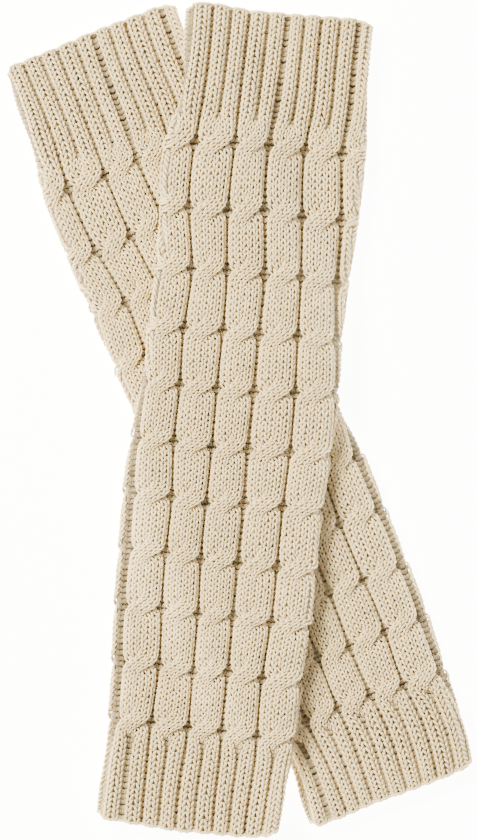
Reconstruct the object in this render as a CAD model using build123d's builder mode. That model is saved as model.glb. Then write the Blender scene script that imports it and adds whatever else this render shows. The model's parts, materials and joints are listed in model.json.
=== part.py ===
from build123d import *
import math
import os

os.makedirs("parts", exist_ok=True)

# A pair of long fingerless gloves in cable knit, laid flat and crossed, one on
# top of the other. Each glove is one open tube: a ribbed hand cuff, a cabled
# body and a ribbed arm cuff. +Z is up, +Y runs along the pair towards the hand
# cuffs, and the origin is at the middle of the pair's box on the table.

# Driving dimensions, in mm
glove_thickness = 9.0  # one glove laid flat, front and back layers with the gap between
wall = 2.2  # one knitted layer
hand_gap = glove_thickness - 2 * wall  # clear height inside the flattened tube
fold_radius = 3.6  # rounding of the folds along both sides
rest_gap = 0.3  # between the two gloves where one lies on the other
cuff_gap = 0.3  # between a cuff that bends and the body it hangs from
overrun = 8.0  # how far the hollow's cutter runs past each end

# Plan of the lower glove: left and right edge of each line across it,
# from the hand end to the arm end
lower_hand_l, lower_hand_r = (-94.8, 139.2), (-25.6, 166.4)
lower_wrist_l, lower_wrist_r = (-82.0, 101.6), (-10.0, 129.4)
lower_elbow_l, lower_elbow_r = (17.0, -132.4), (83.4, -105.6)
lower_arm_l, lower_arm_r = (28.8, -164.8), (94.8, -135.8)

# Plan of the upper glove
upper_hand_l, upper_hand_r = (-21.6, 164.8), (54.8, 158.2)
upper_wrist_l, upper_wrist_r = (-29.2, 119.2), (51.0, 112.6)
upper_elbow_l, upper_elbow_r = (-53.2, -120.8), (22.8, -128.8)
upper_arm_l, upper_arm_r = (-58.4, -157.6), (15.2, -166.4)

upper_z = glove_thickness + rest_gap


def unit(a, b):
    d = math.hypot(b[0] - a[0], b[1] - a[1])
    return ((b[0] - a[0]) / d, (b[1] - a[1]) / d)


def moved(p, d, s):
    return (p[0] + d[0] * s, p[1] + d[1] * s)


def inner_quad(tl, tr, br, bl, inset, past):
    # the hollow's outline: both sides moved in by the wall, both ends run past
    top = unit(tl, tr)
    bottom = unit(bl, br)
    left = unit(bl, tl)
    right = unit(br, tr)
    return [
        moved(moved(tl, top, inset), left, past),
        moved(moved(tr, top, -inset), right, past),
        moved(moved(br, bottom, -inset), right, -past),
        moved(moved(bl, bottom, inset), left, -past),
    ]


def pulled_back(tl, tr, br, bl, at_top, at_bottom):
    # shorten a section at one end to leave the gap that a bending cuff needs
    left = unit(bl, tl)
    right = unit(br, tr)
    return (
        moved(tl, left, -at_top),
        moved(tr, right, -at_top),
        moved(br, right, at_bottom),
        moved(bl, left, at_bottom),
    )


def side_strip(quad, side):
    # the outline of one side's fold, as wide as one knitted layer
    tl, tr, br, bl = quad
    top = unit(tl, tr)
    bottom = unit(bl, br)
    if side == "left":
        return [tl, moved(tl, top, wall), moved(bl, bottom, wall), bl]
    return [moved(tr, top, -wall), tr, br, moved(br, bottom, -wall)]


# Lower glove
lower_hand = (lower_hand_l, lower_hand_r, lower_wrist_r, lower_wrist_l)
lower_mid = (lower_wrist_l, lower_wrist_r, lower_elbow_r, lower_elbow_l)
lower_end = (lower_elbow_l, lower_elbow_r, lower_arm_r, lower_arm_l)

# Upper glove, with its two cuffs set back from the body
upper_hand = pulled_back(upper_hand_l, upper_hand_r, upper_wrist_r, upper_wrist_l, 0, cuff_gap)
upper_mid = (upper_wrist_l, upper_wrist_r, upper_elbow_r, upper_elbow_l)
upper_end = pulled_back(upper_elbow_l, upper_elbow_r, upper_arm_r, upper_arm_l, cuff_gap, 0)


with BuildPart() as lower_hand_cuff:
    with BuildSketch(Plane.XY):
        with BuildLine():
            Polyline(*lower_hand, close=True)
        make_face()
    extrude(amount=glove_thickness)
    lhc_sides = [e for e in lower_hand_cuff.edges().filter_by(lambda e: abs(e.center().Z - glove_thickness / 2) > 1) if e.length < 60 and abs(e.tangent_at(0.5).X) < abs(e.tangent_at(0.5).Y)]
    fillet(lhc_sides, fold_radius)
    with BuildSketch(Plane.XY.offset(wall)):
        with BuildLine():
            Polyline(*inner_quad(*lower_hand, wall, overrun), close=True)
        make_face()
    extrude(amount=hand_gap, mode=Mode.SUBTRACT)

# Lower glove's cabled body: the layer that faces up
with BuildPart() as lower_body_front:
    with BuildSketch(Plane.XY.offset(0)):
        with BuildLine():
            Polyline(*lower_mid, close=True)
        make_face()
    extrude(amount=glove_thickness)
    long_edges = [e for e in lower_body_front.edges() if e.length > 150]
    fillet(long_edges, fold_radius)
    split(bisect_by=Plane.XY.offset(0 + wall + hand_gap), keep=Keep.TOP)

# The layer that faces down
with BuildPart() as lower_body_back:
    with BuildSketch(Plane.XY.offset(0)):
        with BuildLine():
            Polyline(*lower_mid, close=True)
        make_face()
    extrude(amount=glove_thickness)
    long_edges = [e for e in lower_body_back.edges() if e.length > 150]
    fillet(long_edges, fold_radius)
    split(bisect_by=Plane.XY.offset(0 + wall), keep=Keep.BOTTOM)

# The fold along its left side, between the two layers
with BuildPart() as lower_body_left_fold:
    with BuildSketch(Plane.XY.offset(0)):
        with BuildLine():
            Polyline(*lower_mid, close=True)
        make_face()
    extrude(amount=glove_thickness)
    long_edges = [e for e in lower_body_left_fold.edges() if e.length > 150]
    fillet(long_edges, fold_radius)
    split(bisect_by=Plane.XY.offset(0 + wall + hand_gap), keep=Keep.BOTTOM)
    split(bisect_by=Plane.XY.offset(0 + wall), keep=Keep.TOP)
    with BuildSketch(Plane.XY.offset(0)):
        with BuildLine():
            Polyline(*side_strip(lower_mid, "left"), close=True)
        make_face()
    extrude(amount=glove_thickness, mode=Mode.INTERSECT)

# The fold along its right side, between the two layers
with BuildPart() as lower_body_right_fold:
    with BuildSketch(Plane.XY.offset(0)):
        with BuildLine():
            Polyline(*lower_mid, close=True)
        make_face()
    extrude(amount=glove_thickness)
    long_edges = [e for e in lower_body_right_fold.edges() if e.length > 150]
    fillet(long_edges, fold_radius)
    split(bisect_by=Plane.XY.offset(0 + wall + hand_gap), keep=Keep.BOTTOM)
    split(bisect_by=Plane.XY.offset(0 + wall), keep=Keep.TOP)
    with BuildSketch(Plane.XY.offset(0)):
        with BuildLine():
            Polyline(*side_strip(lower_mid, "right"), close=True)
        make_face()
    extrude(amount=glove_thickness, mode=Mode.INTERSECT)

with BuildPart() as lower_arm_cuff:
    with BuildSketch(Plane.XY):
        with BuildLine():
            Polyline(*lower_end, close=True)
        make_face()
    extrude(amount=glove_thickness)
    lac_sides = [e for e in lower_arm_cuff.edges().filter_by(lambda e: abs(e.center().Z - glove_thickness / 2) > 1) if e.length < 60 and abs(e.tangent_at(0.5).X) < abs(e.tangent_at(0.5).Y)]
    fillet(lac_sides, fold_radius)
    with BuildSketch(Plane.XY.offset(wall)):
        with BuildLine():
            Polyline(*inner_quad(*lower_end, wall, overrun), close=True)
        make_face()
    extrude(amount=hand_gap, mode=Mode.SUBTRACT)

with BuildPart() as upper_hand_cuff:
    with BuildSketch(Plane.XY.offset(upper_z)):
        with BuildLine():
            Polyline(*upper_hand, close=True)
        make_face()
    extrude(amount=glove_thickness)
    uhc_sides = [e for e in upper_hand_cuff.edges().filter_by(lambda e: abs(e.center().Z - upper_z - glove_thickness / 2) > 1) if e.length < 60 and abs(e.tangent_at(0.5).X) < abs(e.tangent_at(0.5).Y)]
    fillet(uhc_sides, fold_radius)
    with BuildSketch(Plane.XY.offset(upper_z + wall)):
        with BuildLine():
            Polyline(*inner_quad(*upper_hand, wall, overrun), close=True)
        make_face()
    extrude(amount=hand_gap, mode=Mode.SUBTRACT)

# Upper glove's cabled body: the layer that faces up
with BuildPart() as upper_body_front:
    with BuildSketch(Plane.XY.offset(upper_z)):
        with BuildLine():
            Polyline(*upper_mid, close=True)
        make_face()
    extrude(amount=glove_thickness)
    long_edges = [e for e in upper_body_front.edges() if e.length > 150]
    fillet(long_edges, fold_radius)
    split(bisect_by=Plane.XY.offset(upper_z + wall + hand_gap), keep=Keep.TOP)

# The layer that faces down
with BuildPart() as upper_body_back:
    with BuildSketch(Plane.XY.offset(upper_z)):
        with BuildLine():
            Polyline(*upper_mid, close=True)
        make_face()
    extrude(amount=glove_thickness)
    long_edges = [e for e in upper_body_back.edges() if e.length > 150]
    fillet(long_edges, fold_radius)
    split(bisect_by=Plane.XY.offset(upper_z + wall), keep=Keep.BOTTOM)

# The fold along its left side, between the two layers
with BuildPart() as upper_body_left_fold:
    with BuildSketch(Plane.XY.offset(upper_z)):
        with BuildLine():
            Polyline(*upper_mid, close=True)
        make_face()
    extrude(amount=glove_thickness)
    long_edges = [e for e in upper_body_left_fold.edges() if e.length > 150]
    fillet(long_edges, fold_radius)
    split(bisect_by=Plane.XY.offset(upper_z + wall + hand_gap), keep=Keep.BOTTOM)
    split(bisect_by=Plane.XY.offset(upper_z + wall), keep=Keep.TOP)
    with BuildSketch(Plane.XY.offset(upper_z)):
        with BuildLine():
            Polyline(*side_strip(upper_mid, "left"), close=True)
        make_face()
    extrude(amount=glove_thickness, mode=Mode.INTERSECT)

# The fold along its right side, between the two layers
with BuildPart() as upper_body_right_fold:
    with BuildSketch(Plane.XY.offset(upper_z)):
        with BuildLine():
            Polyline(*upper_mid, close=True)
        make_face()
    extrude(amount=glove_thickness)
    long_edges = [e for e in upper_body_right_fold.edges() if e.length > 150]
    fillet(long_edges, fold_radius)
    split(bisect_by=Plane.XY.offset(upper_z + wall + hand_gap), keep=Keep.BOTTOM)
    split(bisect_by=Plane.XY.offset(upper_z + wall), keep=Keep.TOP)
    with BuildSketch(Plane.XY.offset(upper_z)):
        with BuildLine():
            Polyline(*side_strip(upper_mid, "right"), close=True)
        make_face()
    extrude(amount=glove_thickness, mode=Mode.INTERSECT)

with BuildPart() as upper_arm_cuff:
    with BuildSketch(Plane.XY.offset(upper_z)):
        with BuildLine():
            Polyline(*upper_end, close=True)
        make_face()
    extrude(amount=glove_thickness)
    uac_sides = [e for e in upper_arm_cuff.edges().filter_by(lambda e: abs(e.center().Z - upper_z - glove_thickness / 2) > 1) if e.length < 60 and abs(e.tangent_at(0.5).X) < abs(e.tangent_at(0.5).Y)]
    fillet(uac_sides, fold_radius)
    with BuildSketch(Plane.XY.offset(upper_z + wall)):
        with BuildLine():
            Polyline(*inner_quad(*upper_end, wall, overrun), close=True)
        make_face()
    extrude(amount=hand_gap, mode=Mode.SUBTRACT)

lower_hand_cuff.part.label = "lower_hand_cuff"
lower_body_front.part.label = "lower_body_front"
lower_body_back.part.label = "lower_body_back"
lower_body_left_fold.part.label = "lower_body_left_fold"
lower_body_right_fold.part.label = "lower_body_right_fold"
lower_arm_cuff.part.label = "lower_arm_cuff"
upper_hand_cuff.part.label = "upper_hand_cuff"
upper_body_front.part.label = "upper_body_front"
upper_body_back.part.label = "upper_body_back"
upper_body_left_fold.part.label = "upper_body_left_fold"
upper_body_right_fold.part.label = "upper_body_right_fold"
upper_arm_cuff.part.label = "upper_arm_cuff"

export_step(lower_hand_cuff.part, "parts/lower_hand_cuff.step")
export_step(lower_body_front.part, "parts/lower_body_front.step")
export_step(lower_body_back.part, "parts/lower_body_back.step")
export_step(lower_body_left_fold.part, "parts/lower_body_left_fold.step")
export_step(lower_body_right_fold.part, "parts/lower_body_right_fold.step")
export_step(lower_arm_cuff.part, "parts/lower_arm_cuff.step")
export_step(upper_hand_cuff.part, "parts/upper_hand_cuff.step")
export_step(upper_body_front.part, "parts/upper_body_front.step")
export_step(upper_body_back.part, "parts/upper_body_back.step")
export_step(upper_body_left_fold.part, "parts/upper_body_left_fold.step")
export_step(upper_body_right_fold.part, "parts/upper_body_right_fold.step")
export_step(upper_arm_cuff.part, "parts/upper_arm_cuff.step")

for made in (
    lower_hand_cuff,
    lower_body_front,
    lower_body_back,
    lower_body_left_fold,
    lower_body_right_fold,
    lower_arm_cuff,
    upper_hand_cuff,
    upper_body_front,
    upper_body_back,
    upper_body_left_fold,
    upper_body_right_fold,
    upper_arm_cuff,
):
    box = made.part.bounding_box()
    print(made.part.label, round(made.part.volume, 1), box.min, box.max)
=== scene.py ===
import json
import math

import bpy
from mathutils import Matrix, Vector
import numpy as np


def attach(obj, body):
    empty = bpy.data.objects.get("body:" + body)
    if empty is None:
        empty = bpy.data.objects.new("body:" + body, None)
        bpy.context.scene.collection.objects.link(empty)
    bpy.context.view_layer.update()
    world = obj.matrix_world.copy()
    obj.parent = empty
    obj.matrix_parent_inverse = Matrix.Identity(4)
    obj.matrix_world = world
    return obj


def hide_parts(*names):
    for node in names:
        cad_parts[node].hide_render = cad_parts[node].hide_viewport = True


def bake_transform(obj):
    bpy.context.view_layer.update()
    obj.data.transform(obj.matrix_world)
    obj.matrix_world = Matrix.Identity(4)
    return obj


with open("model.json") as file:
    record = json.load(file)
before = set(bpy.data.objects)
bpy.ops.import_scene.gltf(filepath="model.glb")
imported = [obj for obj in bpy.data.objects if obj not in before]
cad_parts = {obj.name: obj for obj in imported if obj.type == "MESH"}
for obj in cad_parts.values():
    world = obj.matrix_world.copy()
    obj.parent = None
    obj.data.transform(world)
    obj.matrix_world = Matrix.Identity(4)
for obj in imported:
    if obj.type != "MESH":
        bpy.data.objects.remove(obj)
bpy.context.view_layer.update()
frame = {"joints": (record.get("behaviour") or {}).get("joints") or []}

# Two long fingerless gloves in cable knit, laid flat and crossed. Every stitch
# is made as yarn: a knit stitch is two bent legs, a purl stitch is a bar.
# A glove is a flattened tube of eleven cable columns. Five face up, six go
# round the folds and underneath. All lengths below are in mm until the meshes
# are written in metres.

# Course numbers of the lines across a glove at which it is described: the hand
# edge, two lines in the hand cuff, the eleven crossings, two lines in the arm
# cuff and the arm edge.
ROWS = [0.0, 9.5, 17.3, 24.0, 34.0, 44.0, 54.0, 64.0, 74.0, 84.0, 94.0, 104.0, 114.0, 124.0, 130.6, 136.0, 142.0]
UPPER_LINES = [
    [(-27.2, 166.2), (-10.4, 166.2), (4.4, 163.6), (19.8, 162.2), (33.2, 161.2), (48.4, 160.0)],
    [(-28.8, 147.0), (-12.0, 145.4), (2.0, 143.8), (17.6, 142.2), (31.2, 140.6), (46.0, 139.0)],
    [(-31.6, 129.8), (-14.4, 127.8), (0.0, 126.2), (15.0, 124.6), (29.4, 123.0), (44.2, 121.4)],
    [(-32.8, 112.2), (-17.6, 110.6), (-1.6, 110.6), (12.0, 109.8), (26.4, 107.8), (41.6, 106.6)],
    [(-34.4, 86.2), (-20.0, 84.6), (-4.4, 83.4), (10.4, 83.8), (25.2, 81.0), (41.2, 79.8)],
    [(-34.4, 61.8), (-18.8, 60.2), (-4.8, 59.8), (10.4, 57.8), (24.8, 57.0), (39.2, 54.6)],
    [(-37.2, 37.8), (-22.0, 36.6), (-6.4, 35.8), (8.0, 33.8), (23.6, 33.4), (39.2, 31.0)],
    [(-38.8, 15.0), (-23.6, 13.8), (-8.8, 12.6), (6.0, 11.0), (22.4, 10.6), (39.2, 10.6)],
    [(-41.6, -7.4), (-26.0, -8.6), (-10.8, -11.0), (3.6, -11.8), (20.4, -13.0), (36.8, -14.6)],
    [(-43.2, -29.4), (-26.8, -30.6), (-13.2, -33.8), (2.0, -33.4), (17.6, -34.6), (33.6, -36.6)],
    [(-44.8, -51.4), (-29.2, -53.0), (-15.2, -55.8), (-0.4, -57.4), (15.2, -59.0), (31.2, -60.6)],
    [(-47.0, -74.2), (-30.8, -75.4), (-16.4, -77.8), (-2.4, -78.6), (12.8, -81.0), (28.8, -82.6)],
    [(-48.0, -97.0), (-32.0, -98.2), (-18.4, -101.4), (-4.4, -100.6), (9.2, -103.4), (25.2, -105.4)],
    [(-50.0, -119.8), (-35.2, -121.4), (-20.4, -123.4), (-6.8, -124.6), (7.2, -126.6), (22.4, -127.8)],
    [(-52.6, -135.0), (-36.8, -136.2), (-22.4, -137.4), (-8.0, -138.6), (6.0, -139.8), (20.0, -141.4)],
    [(-54.2, -147.4), (-38.0, -148.6), (-24.4, -150.2), (-9.6, -151.0), (4.0, -152.2), (18.0, -153.4)],
    [(-55.8, -159.4), (-39.2, -162.2), (-25.6, -164.6), (-10.8, -165.8), (2.0, -167.0), (15.6, -166.6)],
]
UPPER_EDGES = [
    [(-21.6, 165.4), (54.4, 158.6)],
    [(-22.8, 146.6), (52.8, 137.8)],
    [(-24.4, 128.6), (52.0, 120.6)],
    [(-29.6, 111.8), (50.8, 105.4)],
    [(-31.6, 85.8), (47.8, 79.0)],
    [(-33.6, 61.4), (44.0, 54.2)],
    [(-36.6, 37.8), (41.6, 30.6)],
    [(-40.2, 14.6), (40.8, 10.2)],
    [(-44.0, -7.4), (38.0, -14.6)],
    [(-46.8, -29.0), (34.8, -36.6)],
    [(-48.6, -51.0), (32.0, -60.6)],
    [(-50.4, -73.8), (29.6, -82.6)],
    [(-51.4, -96.6), (26.4, -105.8)],
    [(-52.8, -119.4), (23.6, -127.8)],
    [(-54.4, -135.0), (21.2, -141.4)],
    [(-56.4, -147.0), (18.8, -153.8)],
    [(-57.8, -159.0), (16.4, -166.6)],
]
LOWER_LINES = [
    [(-100.0, 137.7), (-86.8, 143.0), (-73.2, 148.6), (-58.8, 155.0), (-46.0, 159.8), (-31.6, 165.4)],
    [(-94.7, 120.3), (-79.2, 125.4), (-65.2, 129.0), (-51.6, 134.2), (-38.8, 139.8), (-24.3, 145.6)],
    [(-90.1, 103.9), (-73.6, 109.8), (-58.4, 111.8), (-45.2, 117.4), (-31.8, 123.5), (-17.8, 129.4)],
    [(-81.1, 87.0), (-68.4, 92.6), (-53.6, 98.2), (-40.8, 104.6), (-27.2, 109.3), (-13.2, 115.4)],
    [(-71.4, 63.6), (-56.8, 67.0), (-43.2, 73.8), (-30.2, 81.2), (-15.7, 85.6), (-0.9, 92.1)],
    [(-58.7, 42.1), (-45.2, 47.0), (-32.5, 53.3), (-18.0, 58.6), (-4.7, 64.6), (9.3, 69.2)],
    [(-50.6, 20.9), (-37.0, 26.1), (-22.6, 31.9), (-8.6, 36.5), (5.6, 43.2), (20.7, 48.2)],
    [(-41.5, -1.0), (-27.3, 4.8), (-13.4, 10.1), (0.8, 15.1), (15.7, 22.0), (30.7, 29.7)],
    [(-32.8, -23.1), (-18.3, -17.0), (-3.6, -12.3), (9.7, -6.5), (25.4, -0.1), (40.8, 6.1)],
    [(-23.5, -43.9), (-8.4, -37.3), (5.1, -33.7), (18.4, -26.1), (33.0, -19.9), (47.8, -14.5)],
    [(-14.4, -64.3), (0.1, -58.4), (13.7, -54.3), (27.1, -48.3), (40.4, -41.4), (56.7, -35.8)],
    [(-5.5, -85.5), (9.2, -79.1), (23.1, -74.7), (36.0, -69.0), (50.0, -64.2), (65.5, -57.8)],
    [(4.5, -105.7), (18.5, -99.3), (31.6, -95.4), (44.4, -91.0), (58.4, -84.6), (73.4, -78.9)],
    [(14.7, -126.0), (26.8, -121.0), (39.6, -115.4), (52.8, -110.2), (66.0, -106.2), (81.7, -100.7)],
    [(22.4, -139.4), (33.7, -134.5), (45.9, -129.8), (60.0, -125.4), (72.7, -119.2), (87.7, -114.7)],
    [(26.5, -151.9), (38.8, -145.8), (50.1, -141.9), (64.4, -138.6), (76.7, -131.2), (91.5, -126.2)],
    [(29.7, -163.4), (43.6, -158.2), (54.0, -153.4), (67.6, -148.6), (79.6, -144.2), (94.0, -138.1)],
]
LOWER_EDGES = [
    [(-94.4, 139.8), (-24.4, 166.2)],
    [(-89.2, 123.0), (-17.4, 147.8)],
    [(-83.6, 106.6), (-10.4, 132.5)],
    [(-78.0, 88.2), (-4.4, 118.8)],
    [(-68.8, 64.6), (5.3, 94.5)],
    [(-60.1, 41.5), (13.7, 71.0)],
    [(-51.0, 20.3), (23.0, 49.0)],
    [(-42.5, -2.0), (32.3, 30.1)],
    [(-34.9, -24.2), (41.6, 6.3)],
    [(-26.9, -45.2), (50.2, -13.1)],
    [(-17.9, -65.7), (59.3, -35.0)],
    [(-8.6, -86.7), (68.1, -57.0)],
    [(1.5, -107.0), (76.2, -77.9)],
    [(12.5, -126.8), (83.9, -100.5)],
    [(20.8, -140.2), (88.8, -114.2)],
    [(24.4, -152.6), (92.4, -126.2)],
    [(28.3, -163.8), (94.8, -137.1)],
]

COLUMNS = 11  # cable columns round one glove
FIRST_CROSS, CROSS_STEP, CROSSES = 24.0, 10.0, 11
LAST_CROSS = FIRST_CROSS + CROSS_STEP * (CROSSES - 1)
COURSES = 142
BASE_R = 1.55  # half the thickness of the flattened tube's ground
CABLE_H = 3.1  # height of a cable over the ground
RIB_H = 2.3  # height of a rib over the ground
CROSS_WIDE = 0.30  # how much wider than half a column a strand is as it crosses
GUTTER = 0.74  # least half width of a gutter, to the middle of the yarn beside it
KNOT = 0.80  # how much wider a gutter is beside a crossing
EDGE_H = 1.75  # how far the yarn at the folds stands out from the ground
LEG_WIDE = 0.185  # half width of a stitch's leg, in wales
LEG_BOW, LEG_SINK = 0.80, 0.62  # how far a leg rises along its length, and how deep its ends lie
GROUND_Z = 3.9  # middle of the lower glove over the table
STEP_Z = 10.2  # how much higher the upper glove lies on the lower one
DRAPE = 27.0  # how far beyond the lower glove the upper one still slopes down

rng = np.random.default_rng(11)


def natural_spline(x, y):
    """Cubic through the points y (n, ...) at x (n,)."""
    x = np.asarray(x, float)
    y = np.asarray(y, float)
    n = len(x)
    shape = y.shape[1:]
    y = y.reshape(n, -1)
    h = np.diff(x)
    a = np.zeros((n, n))
    b = np.zeros_like(y)
    a[0, 0] = a[-1, -1] = 1
    for i in range(1, n - 1):
        a[i, i - 1], a[i, i], a[i, i + 1] = h[i - 1], 2 * (h[i - 1] + h[i]), h[i]
        b[i] = 6 * ((y[i + 1] - y[i]) / h[i] - (y[i] - y[i - 1]) / h[i - 1])
    m = np.linalg.solve(a, b)

    def at(t):
        t = np.asarray(t, float)
        flat = t.reshape(-1)
        k = np.clip(np.searchsorted(x, flat) - 1, 0, n - 2)
        d = x[k + 1] - x[k]
        p, q = (x[k + 1] - flat)[:, None], (flat - x[k])[:, None]
        d = d[:, None]
        out = (
            (m[k] * p**3 + m[k + 1] * q**3) / (6 * d)
            + (y[k] / d - m[k] * d / 6) * p
            + (y[k + 1] / d - m[k + 1] * d / 6) * q
        )
        return out.reshape(t.shape + shape)

    return at


def smooth(t):
    t = np.clip(t, 0, 1)
    return t * t * (3 - 2 * t)


def hill(flat, power):
    """A plump ridge of half width 1 and height flat, as points evenly spaced along it."""
    a = np.linspace(0, math.pi, 721)
    x = -np.sign(np.cos(a)) * np.abs(np.cos(a)) ** (2 / power)
    z = np.abs(np.sin(a)) ** (2 / power)
    s = np.concatenate([[0], np.cumsum(np.hypot(np.diff(x), flat * np.diff(z)))])
    s /= s[-1]
    return s, x, z


CABLE_S, CABLE_X, CABLE_Z = hill(0.42, 2.05)
RIB_S, RIB_X, RIB_Z = hill(0.62, 2.2)


class Glove:
    def __init__(self, name, lines, edges, seed):
        self.name = name
        lines, edges = np.array(lines, float), np.array(edges, float)
        rows = np.array(ROWS)
        self.rng = np.random.default_rng(seed)
        across = edges[:, 1] - edges[:, 0]
        self.half = natural_spline(rows, np.linalg.norm(across, axis=1) / 2)
        self.middle = natural_spline(rows, edges.mean(1))
        self.across = natural_spline(rows, across / np.linalg.norm(across, axis=1)[:, None])
        # gap lines as places round the tube, and how far each lies along the glove
        n = across / np.linalg.norm(across, axis=1)[:, None]
        along = np.stack([n[:, 1], -n[:, 0]], -1)
        rel = lines - edges.mean(1)[:, None]
        xi = (rel * n[:, None]).sum(-1)
        eta = (rel * along[:, None]).sum(-1)
        f = (np.linalg.norm(across, axis=1) / 2 - EDGE_H - BASE_R)[:, None]
        over = np.clip((np.abs(xi) - f) / (BASE_R + 0.6), 0, 1)
        s = np.where(
            np.abs(xi) <= f,
            np.abs(xi),
            f + BASE_R * np.arcsin(over) + np.clip(np.abs(xi) - f - BASE_R - 0.6, 0, None),
        ) * np.sign(xi)
        around = 4 * f[:, 0] + 2 * math.pi * BASE_R
        back = (s[:, 0] + around - s[:, 5])[:, None]
        s = np.concatenate([s, s[:, 5:6] + back * np.arange(1, COLUMNS - 5 + 1) / (COLUMNS - 5)], 1)
        eta = np.concatenate([eta, np.zeros((len(rows), COLUMNS - 6)), eta[:, :1]], 1)
        eta[:, 6] = eta[:, 5] * 0.5
        self.place = natural_spline(rows, s)
        self.lean = natural_spline(rows, eta)
        self.open = natural_spline(rows, np.array(self.gutters()))

    def gutters(self):
        """Half widths of the purl gutters at the gap lines, one row of eleven for each line across."""
        w = np.full((len(ROWS), COLUMNS), GUTTER)
        for i, v in enumerate(ROWS):
            cable = FIRST_CROSS - 2 < v < LAST_CROSS + 2
            if not cable:
                w[i] = GUTTER + 0.18
            w[i, 3] = GUTTER + (0.75 if v < 20 else (0.25 if v < 100 else 0.15))
            w[i, 5] = GUTTER + (0.7 if v < 20 else 0.3)
            w[i, 0] = GUTTER + (0.8 if cable and v > 60 else 0.25)
            if v > 128:
                w[i, 2] = GUTTER + 0.3
            if self.name == "lower":
                w[i, 1] = GUTTER + 0.1
                if cable:
                    w[i, 5] = GUTTER + 0.8
        return w

    def mid_gutters(self, c):
        """Half width of the gutter that splits a column into two ribs."""
        return np.where(c == 0, GUTTER + 0.65, GUTTER + 0.18)

    def lift(self, x, y):
        return np.zeros_like(x)

    def surface(self, s, v, h, eta):
        """Places in mm of points at arc s round the tube, course v, height h over the ground."""
        a = self.half(v)
        f = a - EDGE_H - BASE_R
        quarter = math.pi * BASE_R
        around = 4 * f + 2 * quarter
        s = (s + f) % around - f
        # the corners of the cuffs are rounded
        near = np.minimum(np.abs(s - f - quarter / 2), np.abs(s - 3 * f - quarter * 1.5))
        corner = 1.25 * (1 - smooth(near / 6.0)) ** 1.5
        v = v + corner * (np.exp(-v / 3.0) - np.exp((v - COURSES) / 3.0))
        v = np.clip(v, 0.0, COURSES)
        right = (s > f) & (s <= f + quarter)
        under = (s > f + quarter) & (s <= 3 * f + quarter)
        left = s > 3 * f + quarter
        t = np.where(right, (s - f) / BASE_R, np.where(left, (s - 3 * f - quarter) / BASE_R, 0))
        # the knit lies flatter on the side that is pressed down
        back = np.where(under, 1.0, np.where(right, t / math.pi, np.where(left, 1 - t / math.pi, 0)))
        aside = np.where(right | left, np.sin(t) ** 2, 0)
        h = h - np.where(h > 0, aside * (0.15 * h + 0.6 * np.clip(h - 2.2, 0, None)), 0)
        r = BASE_R + h * (1 - 0.50 * np.where(h > 0, back, 0))
        x = np.where(right, f + r * np.sin(t), np.where(under, 2 * f + quarter - s, np.where(left, -f - r * np.sin(t), s)))
        z = np.where(right, r * np.cos(t), np.where(under, -r, np.where(left, -r * np.cos(t), r)))
        n = self.across(v)
        along = np.stack([n[..., 1], -n[..., 0]], -1)
        p = self.middle(v) + n * x[..., None] + along * eta[..., None]
        z = z + GROUND_Z + self.lift(p[..., 0], p[..., 1])
        return np.concatenate([p, z[..., None]], -1)

    def column(self, c, v):
        """Arc places of both sides of column c, its lean at both sides, and its half gutters."""
        k = np.broadcast_to(c, v.shape)
        place, lean, gap = self.place(v), self.lean(v), self.open(v)
        pick = lambda table, i: np.take_along_axis(table, i[..., None], -1)[..., 0]
        return pick(place, k), pick(place, k + 1), pick(lean, k), pick(lean, k + 1), pick(gap, k), pick(gap, (k + 1) % COLUMNS)

    def yarn(self, c, m, v, extra=0.0, strand_m=None, k=None):
        """Places of wale m (0 to 6, left to right, any fraction) of column c at course v. strand_m is
        the place that wale has above crossing k. Without it, the bed below the yarn is given."""
        c = np.broadcast_to(c, v.shape)
        m = np.broadcast_to(m, v.shape)
        s0, s1, e0, e1, g0, g1 = self.column(c, v)
        # knots: the crossings pull the column in, and the gaps beside them open
        near = np.exp(-(((v - FIRST_CROSS + CROSS_STEP / 2) % CROSS_STEP - CROSS_STEP / 2) / 1.8) ** 2)
        near = near * smooth((v - FIRST_CROSS + 4) / 3) * smooth((LAST_CROSS + 4 - v) / 3)
        centre, w = (s0 + s1) / 2, (s1 - s0) / 2
        g0, g1 = g0 + KNOT * near, g1 + KNOT * near
        # the cable's own shape
        bed = strand_m is None
        if k is None:
            k = np.clip(np.round((v - FIRST_CROSS) / CROSS_STEP), 0, CROSSES - 1)
        if bed:
            strand_m = m
        front = strand_m >= 3.0  # the right strand above a crossing passes over to the left
        strand = np.where(front, strand_m / 3 - 1, strand_m / 3)
        d = v - (FIRST_CROSS + CROSS_STEP * k)
        if not bed:
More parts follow.
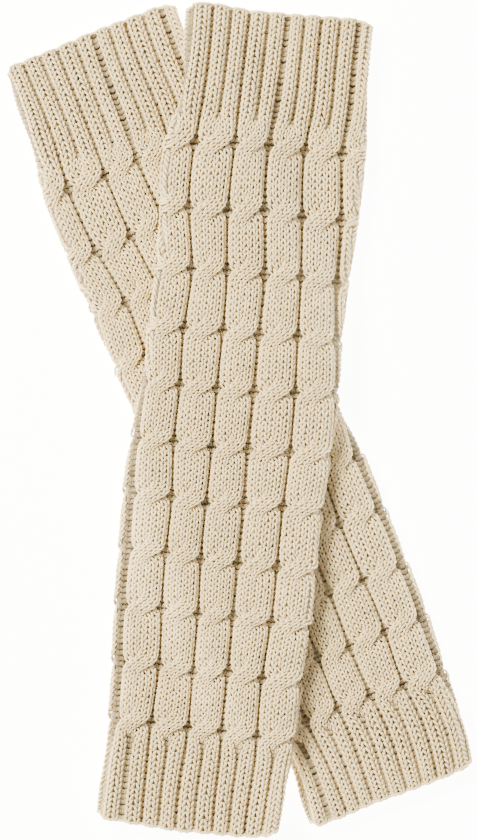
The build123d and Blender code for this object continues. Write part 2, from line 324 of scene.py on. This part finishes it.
            # the courses of a strand stay square to it as it leans over
            d = d + np.where(front, 1.5, -0.9) * (strand - 0.5) * np.exp(-((d / 2.2) ** 2))
            cabled = smooth((v - 21.0) / 1.5) * smooth((LAST_CROSS + 3.2 - v) / 1.5)
            v = v * (1 - cabled) + (FIRST_CROSS + CROSS_STEP * k + d) * cabled
        turn = smooth(d / 3.8 + 0.5)  # 0 above the crossing, 1 below it
        hump = np.exp(-((d / 1.8) ** 2))
        path = np.where(front, 0.75 - 0.5 * turn, 0.25 + 0.5 * turn)
        tau_cross = path + (strand - 0.5) * (0.5 + CROSS_WIDE * np.exp(-((d / 1.35) ** 2)))
        if bed:
            tau_cross = m / 6
        ts = np.interp(tau_cross, CABLE_S, CABLE_X)
        tz = np.interp(tau_cross, CABLE_S, CABLE_Z)
        wl, wr = w - g0, w - g1
        x_cable = centre + np.where(ts < 0, ts * wl, ts * wr)
        round_ = np.sqrt(np.clip(1 - (2 * strand - 1) ** 2 * 0.8, 0, 1))
        z_over = CABLE_H * (0.52 + 0.64 * round_)
        z_under = CABLE_H * 0.40 * round_
        if bed:
            z_over = z_under = CABLE_H * (0.35 + 0.35 * self.fold(c, m, v)) * np.sqrt(tz)
        z_cable = CABLE_H * tz * (1 - hump) + hump * np.where(front, z_over, z_under)
        # rows just off the crossing: pods are fullest half way between two crossings
        full = 1 + 0.13 * np.cos(2 * math.pi * (v - FIRST_CROSS - CROSS_STEP / 2) / CROSS_STEP) * (1 - hump)
        z_cable = z_cable * full
        # the ribs' shape: wales 0-2 are the left rib, 4-6 the right one
        gm = self.mid_gutters(c)
        rl = (w - g0 - gm) / 2
        rr = (w - g1 - gm) / 2
        left = m < 3
        u = np.where(left, m / 2, (m - 4) / 2)
        uc = np.clip(u, 0, 1)
        rx, rz = np.interp(uc, RIB_S, RIB_X), np.interp(uc, RIB_S, RIB_Z)
        x_rib = np.where(left, centre - gm - rl + rx * rl, centre + gm + rr + rx * rr)
        z_rib = RIB_H * rz
        mid = (m > 2) & (m < 4)
        x_rib = np.where(mid, centre + (m - 3) * gm * 0.8, x_rib)
        z_rib = np.where(mid, 0.15, z_rib)
        rib = np.maximum(1 - smooth((v - 18.6) / 3.6), smooth((v - LAST_CROSS - 0.8) / 3.8))
        s = x_cable * (1 - rib) + x_rib * rib
        h = z_cable * (1 - rib) + z_rib * rib
        # the cuffs' ends turn in a little
        end = np.clip(1 - np.minimum(v, COURSES - v) / 2.2, 0, 1)
        h = h + (0.62 * RIB_H - h) * 0.55 * end
        share = np.clip((s - s0) / (s1 - s0), 0, 1)
        eta = e0 * (1 - share) + e1 * share
        return self.surface(s, v, h + extra, eta)

    def fold(self, c, m, v):
        """1 where the fabric turns round a side fold, 0 where it lies flat."""
        s0, s1 = self.column(c, v)[:2]
        s = s0 + (s1 - s0) * m / 6
        f = self.half(v) - EDGE_H - BASE_R
        quarter = math.pi * BASE_R
        s = (s + f) % (4 * f + 2 * quarter) - f
        mid = quarter / 2
        near = np.minimum(np.abs(s - f - mid), np.abs(s - 3 * f - quarter - mid))
        return 1 - smooth((near - mid - 0.5) / 2.0)

    def ground(self, c, q, v, h):
        """Places on the ground at share q across column c, for bars and the fabric below the yarn."""
        s0, s1, e0, e1, _, _ = self.column(c, v)
        s = s0 + (s1 - s0) * q
        eta = e0 * (1 - q) + e1 * q
        return self.surface(s, v, h, eta)


class Upper(Glove):
    def __init__(self, name, lines, edges, seed, below):
        # the lower glove's outline, to know where the fabric can sink
        v = np.linspace(0, COURSES, 90)
        mid, n, a = below.middle(v), below.across(v), below.half(v)
        self.mid, self.n, self.a = mid, n, a
        super().__init__(name, lines, edges, seed)

    def lift(self, x, y):
        shape = x.shape
        p = np.stack([x.reshape(-1), y.reshape(-1)], -1)
        out = np.empty(len(p))
        o, e = self.mid[0], self.mid[-1]
        length = np.linalg.norm(e - o)
        d = (e - o) / length
        t = (p - o) @ d / length  # 0 at the hand edge, 1 at the arm edge
        v = np.clip(t, 0, 1) * (len(self.mid) - 1)
        k = np.clip(v.astype(int), 0, len(self.mid) - 2)
        w = (v - k)[:, None]
        m = self.mid[k] * (1 - w) + self.mid[k + 1] * w
        n = self.n[k] * (1 - w) + self.n[k + 1] * w
        a = self.a[k] * (1 - w[:, 0]) + self.a[k + 1] * w[:, 0]
        side = np.abs(((p - m) * n).sum(-1)) - a
        past = np.maximum(-t, t - 1) * length
        out = np.where(past > 0, np.hypot(np.clip(side, 0, None), past), side)
        return (STEP_Z * (1 - smooth((out - 1.0) / DRAPE))).reshape(shape)


def tubes(line, width, height, lateral, sides, taper):
    """Closed tubes along many lines at once. line is (n, r, 3), lateral (n, r, 3) points across each
    tube. Returns vertices, and faces as triangles."""
    n, r, _ = line.shape
    tangent = np.gradient(line, axis=1)
    tangent /= np.linalg.norm(tangent, axis=2, keepdims=True) + 1e-9
    lateral = lateral - (lateral * tangent).sum(2, keepdims=True) * tangent
    lateral /= np.linalg.norm(lateral, axis=2, keepdims=True) + 1e-9
    up = np.cross(tangent, lateral)
    a = np.linspace(0, 2 * math.pi, sides, endpoint=False)
    ca, sa = np.cos(a), np.sin(a)
    w = (width[:, None] * taper)[:, :, None, None]
    t = (height[:, None] * taper)[:, :, None, None]
    ring = line[:, :, None] + lateral[:, :, None] * ca[:, None] * w + up[:, :, None] * sa[:, None] * t
    first = line[:, :1] - tangent[:, :1] * (width * taper[0] * 0.6)[:, None, None]
    last = line[:, -1:] + tangent[:, -1:] * (width * taper[-1] * 0.6)[:, None, None]
    verts = np.concatenate([ring.reshape(n, r * sides, 3), first, last], 1)
    per = r * sides + 2
    i, j = np.meshgrid(np.arange(r - 1), np.arange(sides), indexing="ij")
    p = (i * sides + j).reshape(-1)
    q = (i * sides + (j + 1) % sides).reshape(-1)
    tri = np.concatenate([np.stack([p, q, q + sides], -1), np.stack([p, q + sides, p + sides], -1)])
    k = np.arange(sides)
    cap0 = np.stack([np.full(sides, r * sides), (k + 1) % sides, k], -1)
    b = (r - 1) * sides
    cap1 = np.stack([np.full(sides, r * sides + 1), b + k, b + (k + 1) % sides], -1)
    tri = np.concatenate([tri, cap0, cap1])
    faces = (tri[None] + (np.arange(n) * per)[:, None, None]).reshape(-1, 3)
    # along and around, for the twist of the yarn
    along = np.repeat(np.linspace(0, 1, r), sides)
    about = np.tile(np.arange(sides) / sides, r)
    uv = np.stack([np.concatenate([about, [0.5, 0.5]]), np.concatenate([along, [0, 1]])], -1)
    return verts.reshape(-1, 3), faces, np.tile(uv, (n, 1)), per


def write_mesh(name, verts, faces, uv, tint, cells):
    """A smooth mesh in metres from arrays, with a map for the yarn's twist, a value for each vertex that holds random
    tone and painted shade, and a bake map that gives each strand its own cell."""
    me = bpy.data.meshes.new(name)
    me.vertices.add(len(verts))
    me.vertices.foreach_set("co", (verts / 1000).astype(np.float32).reshape(-1))
    me.loops.add(len(faces) * 3)
    me.loops.foreach_set("vertex_index", faces.astype(np.int32).reshape(-1))
    me.polygons.add(len(faces))
    me.polygons.foreach_set("loop_start", (np.arange(len(faces)) * 3).astype(np.int32))
    me.polygons.foreach_set("use_smooth", np.ones(len(faces), bool))
    me.update(calc_edges=True)
    corner = faces.reshape(-1)
    layer = me.uv_layers.new(name="Twist")
    layer.data.foreach_set("uv", uv[corner].astype(np.float32).reshape(-1))
    bake = me.uv_layers.new(name="OFBake")
    side = int(math.ceil(math.sqrt(cells.max() + 1)))
    cell = np.stack([cells % side, cells // side], -1)
    u = (cell + 0.15 + 0.7 * np.clip(uv, 0, 1)) / side
    bake.data.foreach_set("uv", u[corner].astype(np.float32).reshape(-1))
    me.uv_layers.active = layer
    # per-vertex random tone, and painted shade for the purl bars and the bed
    col = me.attributes.new("tint", "FLOAT", "POINT")
    col.data.foreach_set("value", tint.astype(np.float32))
    ob = bpy.data.objects.new(name, me)
    bpy.context.scene.collection.objects.link(ob)
    return ob


def mm_noise(v, c, scale, seed):
    return np.sin(v * scale + c * 2.3 + seed) * 0.5 + np.sin(v * scale * 0.37 + c * 5.1 + seed * 1.7) * 0.5


def along_strand(u):
    """Courses from a crossing's middle of stitch u of the strand that passes in front: it travels
    further than the fabric behind it, so its stitches lie closer together there."""
    return u - 1.016 * np.tanh(u / 2.5)


def stitch_list():
    """Wale, name above the crossing, crossing, first course, stitch and kind of every knit stitch of a column."""
    rows = []
    for j in list(range(0, 19)) + list(range(129, COURSES)):
        for m in range(6):
            k = 0 if j < 19 else CROSSES - 1
            rows.append((m, m if j < 19 else (m + 3) % 6, k, 0.0, j, 0))
    for k in range(CROSSES):
        for name in range(6):
            half = 6 if name >= 3 else 5
            for n in range(-half, half):
                m = name if n < 0 else (name + 3) % 6
                rows.append((m, name, k, FIRST_CROSS + CROSS_STEP * k, n, int(name >= 3)))
    return np.array(rows, float)


STITCHES = stitch_list()


def knit_legs(glove, cols, lo, hi, fine):
    """The legs of every knit stitch of these columns between courses lo and hi."""
    r, sides = (8, 7) if fine else (5, 5)
    n = STITCHES
    middle = n[:, 3] + np.where(n[:, 5] > 0, along_strand(n[:, 4] + 0.5), n[:, 4] + 0.5)
    knit = (n[:, 0] < 2) | (n[:, 0] > 3) | ((middle > 20.0) & (middle < LAST_CROSS + 2.6))
    n = n[knit & (middle >= lo) & (middle < hi)]
    count = len(n)
    c = np.repeat(cols, count * 2)
    side = np.tile([-1.0, 1.0], len(cols) * count)
    m, was, k, base, j, front = np.tile(np.repeat(n, 2, 0), (len(cols), 1)).T
    t = np.linspace(0, 1, r)
    jit = glove.rng.normal(0, 1, (len(c), 4))
    # a V points to the arm end: its legs start together low down and part as they go up
    u = j[:, None] + 1.16 - 1.34 * t[None] + jit[:, :1] * 0.05
    v = base[:, None] + np.where(front[:, None] > 0, along_strand(u), u)
    v = np.clip(v, 0.05, COURSES - 0.05)
    bow = np.sin(math.pi * t)[None]
    off = side[:, None] * (0.115 + 0.07 * t + 0.215 * smooth((t - 0.25) / 0.75))[None] + jit[:, 1:2] * 0.014
    place = m[:, None] + 0.5 + off
    name = was[:, None] + 0.5 + off
    extra = LEG_BOW * bow**0.8 - LEG_SINK + jit[:, 2:3] * 0.05
    k = np.broadcast_to(k[:, None], v.shape)
    line = glove.yarn(c[:, None], place, v, extra, name, k)
    aside = glove.yarn(c[:, None], place + 0.15, v, extra, name + 0.15, k) - glove.yarn(
        c[:, None], place - 0.15, v, extra, name - 0.15, k
    )
    run = np.gradient(line, axis=1)
    run /= np.linalg.norm(run, axis=2, keepdims=True) + 1e-9
    wale = np.linalg.norm(aside - (aside * run).sum(2, keepdims=True) * run, axis=2).mean(1) / 0.3
    width = np.clip(wale, 1.8, 2.9) * LEG_WIDE
    height = np.full(len(c), 0.50)
    taper = np.interp(t, [0, 0.15, 0.4, 0.6, 0.85, 1], [0.5, 0.82, 1.0, 0.98, 0.85, 0.55])
    tint = jit[:, 3] * 0.5 + mm_noise(v[:, 0], c * 8.0 + m, 0.9, 1.0)
    return line, width, height, aside, sides, taper, tint


def bars(glove, cols, lo, hi, where, fine):
    """The purl bars that show in the gutters, one for each course."""
    r, sides = (9, 6) if fine else (5, 5)
    c, j = [a.reshape(-1) for a in np.meshgrid(cols, np.arange(lo, hi), indexing="ij")]
    jit = glove.rng.normal(0, 1, (len(c), 3))
    t = np.linspace(-1, 1, r)[None]
    v = j[:, None] + 0.5 + 0.16 * np.cos(2 * math.pi * t) + jit[:, :1] * 0.08
    v = np.clip(v, 0.1, COURSES - 0.1)
    if where == "gap":
        s0, s1, e0, e1, gap, _ = glove.column(c[:, None], v)
        # an open gutter shows its bars, in a closed one they lie deep
        wide = smooth((gap - GUTTER - 0.2) / 0.45)
        half = (gap + 0.9 - 0.4 * wide) * np.ones_like(v)
        line = glove.surface(s0 + t * half, v, -1.0 + 0.4 * wide + 0.40 * np.abs(np.sin(math.pi * t)) + jit[:, 1:2] * 0.04, e0)
        wide = wide.mean(1)
    else:
        wide = (c == 0) * 1.0
        line = glove.yarn(c[:, None], 3 + t * 1.15, v, -1.0 + 0.4 * wide[:, None] + 0.40 * np.abs(np.sin(math.pi * t)))
    down = np.zeros_like(line)
    down[..., :2] = (glove.middle(v + 0.2) - glove.middle(v - 0.2))
    # painted shade: the purl bars are coloured darker than the knit yarn to stand in for
    # the shade in the gutters, darkest in the open gutters, less in the hand cuff and least in the arm cuff, with a
    # little random tone
    tint = jit[:, 2] * 0.7 - 8.4 - 4.4 * wide
    tint = tint + np.interp(v.mean(1), [0, 20, 26, 126, 132], [1.5, 1.5, 0, 0, 4.0])
    return line, np.full(len(c), 0.90), np.full(len(c), 0.5), down, sides, np.ones(r), tint


def chain(glove, at, out, low):
    """The cast-on or cast-off chain along a cuff's edge: one slanting loop after another, all round."""
    m = np.linspace(0, 6, 37)
    C, M = np.meshgrid(np.arange(COLUMNS), m, indexing="ij")
    # the edge runs out a little at each rib and in at each gutter
    swell = np.where((M < 2) | (M > 4), np.abs(np.sin(math.pi * M / 2)) ** 0.7, 0)
    rim = glove.yarn(C, M, at - out * 0.20 * (1 - swell) + 0 * M, low).reshape(-1, 3)
    rim = np.concatenate([rim, rim[:1]])
    step = np.concatenate([[0], np.cumsum(np.linalg.norm(np.diff(rim, axis=0), axis=1))])
    n = int(step[-1] / 2.35)
    r, sides = 7, 7
    t = np.linspace(0, 1, r)
    where = (np.arange(n)[:, None] + t[None] * 1.35 - 0.18) * step[-1] / n % step[-1]
    line = np.stack([np.interp(where, step, rim[:, i]) for i in range(3)], -1)
    along = glove.middle(np.full(n, at + 0.5)) - glove.middle(np.full(n, at - 0.5))
    along = along / np.linalg.norm(along, axis=1, keepdims=True)
    jit = glove.rng.normal(0, 1, (n, 2))
    push = out * (0.15 + 0.55 * np.sin(math.pi * t)[None] - 0.25 * t[None] + jit[:, :1] * 0.05)
    line[..., :2] += along[:, None] * push[..., None]
    down = np.zeros_like(line)
    down[..., 2] = 1
    taper = np.sin(math.pi * (0.2 + 0.6 * t)) ** 0.6
    return line, np.full(n, 0.62), np.full(n, 0.60), down, sides, taper, jit[:, 1] * 0.5


def ground_mesh(glove, name, va, vb, first, last):
    """The fabric below the yarn for one section: a closed double wall round the tube, coloured dark as painted shade
    in the holes between the stitches.
    """
    cols = np.arange(COLUMNS)
    m = np.array([0.0, 0.35, 1.0, 2.0, 3.0, 4.0, 5.0, 5.65, 6.0])
    v = np.linspace(va, vb, max(8, int((vb - va) * 1.5)))
    C, M, V = np.meshgrid(cols, m, v, indexing="ij")
    fold = glove.fold(C, M, V)
    deep = -1.45 + 1.0 * fold
    outer = glove.yarn(C, M, V, deep)
    q = np.broadcast_to((m / 6)[None, :, None], C.shape)
    inner = glove.ground(C, q, V, np.full(C.shape, -1.5))
    n_s, n_v = COLUMNS * len(m), len(v)
    outer = outer.reshape(n_s, n_v, 3)
    inner = inner.reshape(n_s, n_v, 3)
    verts = np.concatenate([outer.reshape(-1, 3), inner.reshape(-1, 3)])
    i, j = np.meshgrid(np.arange(n_s), np.arange(n_v - 1), indexing="ij")
    i2 = (i + 1) % n_s
    a, b, d, e = [x.reshape(-1) for x in (i * n_v + j, i2 * n_v + j, i2 * n_v + j + 1, i * n_v + j + 1)]
    tri = [np.stack([a, e, d], -1), np.stack([a, d, b], -1)]
    o = n_s * n_v
    tri += [np.stack([a + o, d + o, e + o], -1), np.stack([a + o, b + o, d + o], -1)]
    s = np.arange(n_s)
    s2 = (s + 1) % n_s
    for jj, flip in ((0, False), (n_v - 1, True)):
        p, q2 = s * n_v + jj, s2 * n_v + jj
        f1, f2 = np.stack([p, q2, q2 + o], -1), np.stack([p, q2 + o, p + o], -1)
        tri += [f1[:, ::-1], f2[:, ::-1]] if flip else [f1, f2]
    faces = np.concatenate(tri)
    uv = np.zeros((len(verts), 2))
    uv[:, 0] = np.tile(np.repeat(np.arange(n_s) / n_s, n_v), 2) * 0.5 + np.repeat([0, 0.5], o)
    uv[:, 1] = np.tile(np.tile(np.arange(n_v) / n_v, n_s), 2)
    # painted shade: the bed is coloured dark so that the holes between stitches read as shade, less dark at the folds,
    # and its inner wall a little dark
    tint = np.concatenate([(-12.0 + 5.5 * fold).reshape(-1), np.full(o, -4.0)])
    return write_mesh(name, verts, faces, uv, tint, np.zeros(len(verts), int))


MAX_TRIS = 180000


def build(name, parts):
    """Meshes from lists of strands, split so that none is too big. Returns the objects."""
    made, verts, faces, uvs, tones_and_painted_shades, cells, at, tris, strands = [], [], [], [], [], [], 0, 0, 0

    def flush():
        nonlocal verts, faces, uvs, tones_and_painted_shades, cells, at, tris, strands
        if verts:
            made.append(
                write_mesh(
                    f"{name}_{len(made) + 1}",
                    np.concatenate(verts),
                    np.concatenate(faces),
                    np.concatenate(uvs),
                    np.concatenate(tones_and_painted_shades),
                    np.concatenate(cells),
                )
            )
        verts, faces, uvs, tones_and_painted_shades, cells, at, tris, strands = [], [], [], [], [], 0, 0, 0

    for line, width, height, aside, sides, taper, tint in parts:
        r = line.shape[1]
        per_tris = (r - 1) * sides * 2 + 2 * sides
        done = 0
        while done < len(line):
            room = (MAX_TRIS - tris) // per_tris
            if room < 1:
                flush()
                continue
            b = min(len(line), done + room)
            vv, ff, uu, per = tubes(line[done:b], width[done:b], height[done:b], aside[done:b], sides, taper)
            verts.append(vv)
            faces.append(ff + at)
            uvs.append(uu)
            tones_and_painted_shades.append(np.repeat(tint[done:b], per))
            cells.append(np.repeat(np.arange(b - done) + strands, per))
            at += len(vv)
            tris += len(ff)
            strands += b - done
            done = b
    flush()
    return made


# ---------------------------------------------------------------- materials


def yarn_material(name, colour, rough):
    mat = bpy.data.materials.new(name)
    mat.use_nodes = True
    nt = mat.node_tree
    bsdf = nt.nodes["Principled BSDF"]
    new = nt.nodes.new
    link = nt.links.new
    bsdf.inputs["Roughness"].default_value = rough
    bsdf.inputs["Specular IOR Level"].default_value = 0.12
    bsdf.inputs["Sheen Weight"].default_value = 0.10
    bsdf.inputs["Sheen Roughness"].default_value = 0.45
    bsdf.inputs["Sheen Tint"].default_value = (1.0, 0.88, 0.70, 1)
    # colour: each stitch a little lighter or darker, the blend of fibres within it, and painted shade: the per-vertex
    # values of the purl bars and the bed darken them far below the yarn's colour
    tint = new("ShaderNodeAttribute")
    tint.attribute_name = "tint"
    where = new("ShaderNodeTexCoord")
    heather = new("ShaderNodeTexNoise")
    heather.inputs["Scale"].default_value = 900
    heather.inputs["Detail"].default_value = 3
    wide = new("ShaderNodeTexNoise")
    wide.inputs["Scale"].default_value = 38
    wide.inputs["Detail"].default_value = 2
    link(where.outputs["Object"], heather.inputs["Vector"])
    link(where.outputs["Object"], wide.inputs["Vector"])
    a = new("ShaderNodeMath")
    a.operation = "MULTIPLY"
    a.inputs[1].default_value = 0.10
    link(tint.outputs["Fac"], a.inputs[0])
    b = new("ShaderNodeMath")
    b.operation = "MULTIPLY_ADD"
    b.inputs[1].default_value = 0.55
    link(heather.outputs["Fac"], b.inputs[0])
    link(a.outputs[0], b.inputs[2])
    d = new("ShaderNodeMath")
    d.operation = "MULTIPLY_ADD"
    d.inputs[1].default_value = 0.5
    link(wide.outputs["Fac"], d.inputs[0])
    link(b.outputs[0], d.inputs[2])
    ramp = new("ShaderNodeMix")
    ramp.data_type = "RGBA"
    # unclamped, so that low per-vertex values darken past colour A: painted shade on the purl bars and the bed
    ramp.clamp_factor = False
    ramp.inputs["A"].default_value = tuple(x * y for x, y in zip(colour, (0.68, 0.667, 0.655))) + (1,)
    ramp.inputs["B"].default_value = tuple(min(1, x * y) for x, y in zip(colour, (1.17, 1.165, 1.15))) + (1,)
    link(d.outputs[0], ramp.inputs["Factor"])
    link(ramp.outputs["Result"], bsdf.inputs["Base Color"])
    # relief: the twist of the plies along each leg, and loose fibres
    uv = new("ShaderNodeUVMap")
    uv.uv_map = "Twist"
    turn = new("ShaderNodeMapping")
    turn.inputs["Scale"].default_value = (2.0, 3.4, 1)
    turn.inputs["Rotation"].default_value = (0, 0, 0)
    link(uv.outputs["UV"], turn.inputs["Vector"])
    ply = new("ShaderNodeTexWave")
    ply.wave_type = "BANDS"
    ply.bands_direction = "DIAGONAL"
    ply.inputs["Scale"].default_value = 0.5
    ply.inputs["Distortion"].default_value = 0.6
    ply.inputs["Detail"].default_value = 1
    link(turn.outputs["Vector"], ply.inputs["Vector"])
    fibre = new("ShaderNodeTexNoise")
    fibre.inputs["Scale"].default_value = 2600
    fibre.inputs["Detail"].default_value = 2
    link(where.outputs["Object"], fibre.inputs["Vector"])
    both = new("ShaderNodeMath")
    both.operation = "MULTIPLY_ADD"
    both.inputs[1].default_value = 0.35
    link(ply.outputs["Fac"], both.inputs[0])
    link(fibre.outputs["Fac"], both.inputs[2])
    bump = new("ShaderNodeBump")
    bump.inputs["Strength"].default_value = 0.4
    bump.inputs["Distance"].default_value = 0.00022
    link(both.outputs[0], bump.inputs["Height"])
    link(bump.outputs["Normal"], bsdf.inputs["Normal"])
    return mat


YARN = yarn_material("cream_yarn", (0.80, 0.66, 0.40), 0.85)
# the bed's material: its colour, darkened further by the bed's per-vertex values, is painted shade between the
# stitches
SHADE_BED = yarn_material("cream_bed_painted_shade", (0.74, 0.63, 0.44), 0.95)


# ---------------------------------------------------------------- the two gloves

lower = Glove("lower", LOWER_LINES, LOWER_EDGES, 3)
upper = Upper("upper", UPPER_LINES, UPPER_EDGES, 5, lower)

FRONT = np.array([10, 0, 1, 2, 3, 4, 5])
BACK = np.array([6, 7, 8, 9])
CUFF_END, ARM_START = 21, 125

SECTIONS = (
    ("hand_cuff", 0, CUFF_END, ("hand_cuff",)),
    ("body", CUFF_END, ARM_START, ("body_front", "body_back", "body_left_fold", "body_right_fold")),
    ("arm_cuff", ARM_START, COURSES, ("arm_cuff",)),
)


def hinge_line(a, b, past):
    """Start and end of a cuff's bend: from the joint's line into the cuff."""
    d = np.array(b, float) - np.array(a, float)
    d /= np.linalg.norm(d)
    s = np.array(a, float)
    return tuple(s), tuple(s + d * past)


grounds = {}
for glove in (lower, upper):
    for section, lo, hi, nodes in SECTIONS:
        parts = [
            knit_legs(glove, FRONT, lo, hi, True),
            bars(glove, FRONT, lo, hi, "gap", True),
            knit_legs(glove, BACK, lo, hi, False),
            bars(glove, BACK, lo, hi, "gap", False),
        ]
        if section == "hand_cuff":
            parts.append(bars(glove, FRONT, lo, 20, "mid", True))
            parts.append(bars(glove, BACK, lo, 20, "mid", False))
            parts.append(chain(glove, 0.1, -1, 0.05))
            parts.append(chain(glove, 0.1, -1, -0.95))
        if section == "arm_cuff":
            parts.append(bars(glove, FRONT, lo + 1, hi, "mid", True))
            parts.append(bars(glove, BACK, lo + 1, hi, "mid", False))
            parts.append(chain(glove, COURSES - 0.1, 1, 0.05))
            parts.append(chain(glove, COURSES - 0.1, 1, -0.95))
        piece = f"{glove.name}_{section}"
        yarn = build(f"{piece}_yarn", parts)
        bed = ground_mesh(glove, f"{piece}_bed", max(lo, 0.1), min(hi, COURSES - 0.1), lo == 0, hi == COURSES)
        bed.data.materials.append(SHADE_BED)
        for o in yarn:
            o.data.materials.append(YARN)
        grounds[piece] = (bed, yarn)
        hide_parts(*[f"{glove.name}_{n}" for n in nodes])
        if glove.name == "lower":
            for o in [bed] + yarn:
                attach(o, "lower_glove")
        elif section == "body":
            for o in [bed] + yarn:
                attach(o, "upper_glove")
        else:
            joint = [q for q in frame["joints"] if q["name"] == f"upper_{section}_bend"][0]
            at = np.array(joint["pos_m"], float)
            for o in [bed] + yarn:
                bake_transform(o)

for glove, rests in (("lower", ()), ("upper", ("lower_body_bed",))):
    for section, length in (("hand_cuff", 0.047), ("body", 0.236), ("arm_cuff", 0.036)):
        bed, yarn = grounds[f"{glove}_{section}"]

# ---------------------------------------------------------------- table, light and camera

floor_mat = bpy.data.materials.new("pale_floor")
floor_mat.use_nodes = True
fb = floor_mat.node_tree.nodes["Principled BSDF"]
fb.inputs["Base Color"].default_value = (0.93, 0.93, 0.93, 1)
fb.inputs["Roughness"].default_value = 0.9
fb.inputs["Specular IOR Level"].default_value = 0.1
fb.inputs["Emission Color"].default_value = (1, 1, 1, 1)
fb.inputs["Emission Strength"].default_value = 11.0
me = bpy.data.meshes.new("floor")
me.from_pydata([(-3, -3, -0.0004), (3, -3, -0.0004), (3, 3, -0.0004), (-3, 3, -0.0004)], [], [(0, 1, 2, 3)])
floor = bpy.data.objects.new("floor", me)
floor.data.materials.append(floor_mat)
bpy.context.scene.collection.objects.link(floor)

world = bpy.data.worlds.new("studio")
bpy.context.scene.world = world
world.use_nodes = True
world.node_tree.nodes["Background"].inputs["Color"].default_value = (1.0, 0.96, 0.88, 1)
world.node_tree.nodes["Background"].inputs["Strength"].default_value = 0.42


def area_light(name, place, target, size, power, colour=(1, 1, 1)):
    data = bpy.data.lights.new(name, "AREA")
    data.shape = "RECTANGLE"
    data.size, data.size_y = size
    data.energy = power
    data.color = colour
    o = bpy.data.objects.new(name, data)
    bpy.context.scene.collection.objects.link(o)
    o.location = place
    d = np.array(target, float) - np.array(place, float)
    o.rotation_euler = Vector(d).to_track_quat("-Z", "Y").to_euler()
    return o


area_light("key", (-1.3, 0.85, 1.7), (0, 0, 0), (1.2, 0.9), 266, (1, 0.91, 0.69))
area_light("fill", (1.3, -0.9, 1.7), (0, 0, 0), (1.5, 1.5), 20, (0.98, 0.99, 1))

cam_data = bpy.data.cameras.new("camera")
cam = bpy.data.objects.new("camera", cam_data)
bpy.context.scene.collection.objects.link(cam)
height = 3.2
cam.location = (-0.0002, -0.0002, height)
cam.rotation_euler = (0, 0, 0)
cam_data.sensor_width = 36
cam_data.lens = 36 / (2 * 0.168 / (height - 0.014))
cam_data.clip_start = 0.1
cam_data.clip_end = 20
bpy.context.scene.camera = cam
